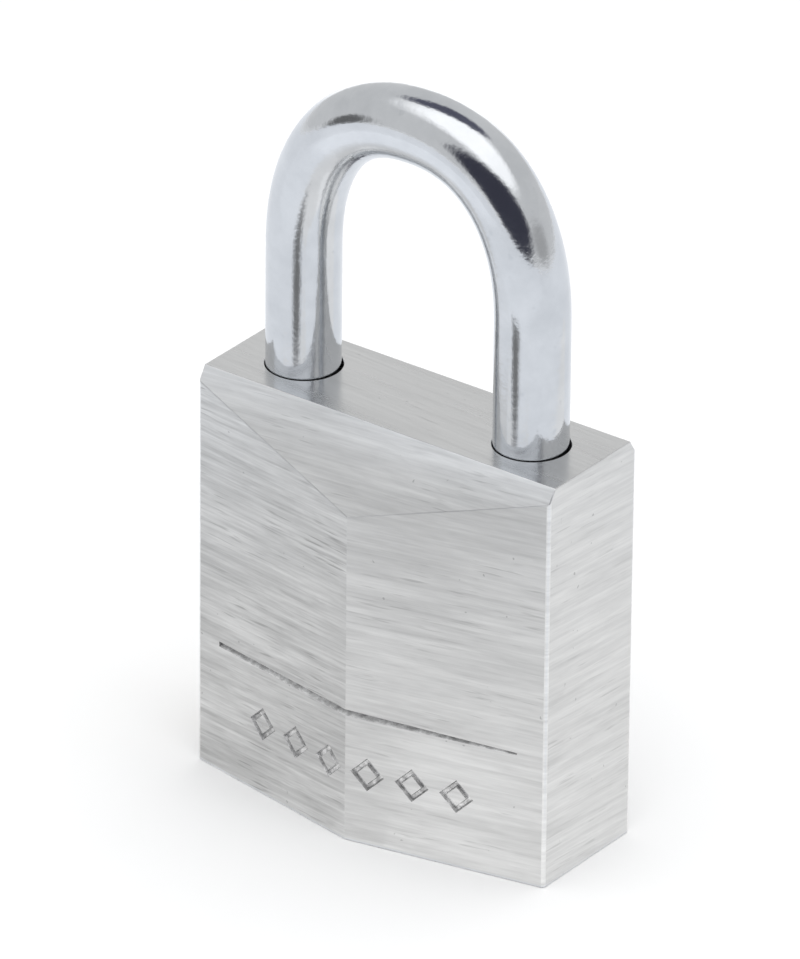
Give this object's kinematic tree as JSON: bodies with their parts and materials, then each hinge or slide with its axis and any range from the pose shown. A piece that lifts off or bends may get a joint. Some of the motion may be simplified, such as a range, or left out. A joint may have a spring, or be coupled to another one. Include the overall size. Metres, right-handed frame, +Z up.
{
  "type": "padlock",
  "caption": "Small keyed padlock with a faceted solid aluminium body, a round plated steel shackle and a pin-tumbler cylinder that opens from the base.",
  "frame": {"origin": "centre of the flat base of the body, with the keyway around it", "axes": "+Z up along the shackle's legs, +X towards the heel leg, -Y towards the engraved front"},
  "size_m": [0.03, 0.0158, 0.0549],
  "materials": {
    "body_aluminium": "bare machined metal with fine scratches along each face",
    "shackle_plating": "smooth bright plating with a slightly blue tint",
    "plug_brass": "turned brass with fine rings on its end face",
    "pin_brass": "turned brass",
    "latch_steel": "ground steel",
    "pin_steel": "ground steel",
    "spring_steel": "drawn spring wire"
  },
  "bodies": {
    "housing": {"body": "body_aluminium", "latch_bore_plug": "body_aluminium", "shackle_retaining_pin": "pin_steel", "plug_retaining_pin": "pin_steel", "shackle_spring": "spring_steel", "driver_pin_1": "pin_brass", "driver_pin_2": "pin_brass", "driver_pin_3": "pin_brass", "driver_pin_4": "pin_brass", "pin_spring_1": "spring_steel", "pin_spring_2": "spring_steel", "pin_spring_3": "spring_steel", "pin_spring_4": "spring_steel", "chamber_plug_1": "pin_brass", "chamber_plug_2": "pin_brass", "chamber_plug_3": "pin_brass", "chamber_plug_4": "pin_brass"},
    "shackle": {"shackle": "shackle_plating"},
    "cylinder": {"cylinder_plug": "plug_brass", "locking_cam": "latch_steel", "key_pin_1": "pin_brass", "key_pin_2": "pin_brass", "key_pin_3": "pin_brass", "key_pin_4": "pin_brass"},
    "heel_latch": {"heel_latch": "latch_steel", "heel_latch_spring": "spring_steel"},
    "toe_latch": {"toe_latch": "latch_steel", "toe_latch_spring": "spring_steel"}
  },
  "joints": [
    {"name": "shackle_lift", "type": "slide", "parent": "housing", "child": "shackle", "axis": [0, 0, 1], "range_m": [0, 0.0102], "deforming": ["shackle_spring"]},
    {"name": "plug_turn", "type": "hinge", "parent": "housing", "child": "cylinder", "pos_m": [0, 0, 0.0004], "axis": [0, 0, 1], "range_deg": [-90, 0]},
    {"name": "heel_latch_slide", "type": "slide", "parent": "housing", "child": "heel_latch", "axis": [1, 0, 0], "range_m": [0, 0.0013], "deforming": ["heel_latch_spring"]},
    {"name": "toe_latch_slide", "type": "slide", "parent": "housing", "child": "toe_latch", "axis": [-1, 0, 0], "range_m": [0, 0.0013], "deforming": ["toe_latch_spring"]}
  ],
  "couplings": [
    {"joint": "plug_turn", "follows": "heel_latch_slide", "rad_per_m": -1208.3},
    {"joint": "toe_latch_slide", "follows": "heel_latch_slide", "ratio": 1}
  ]
}
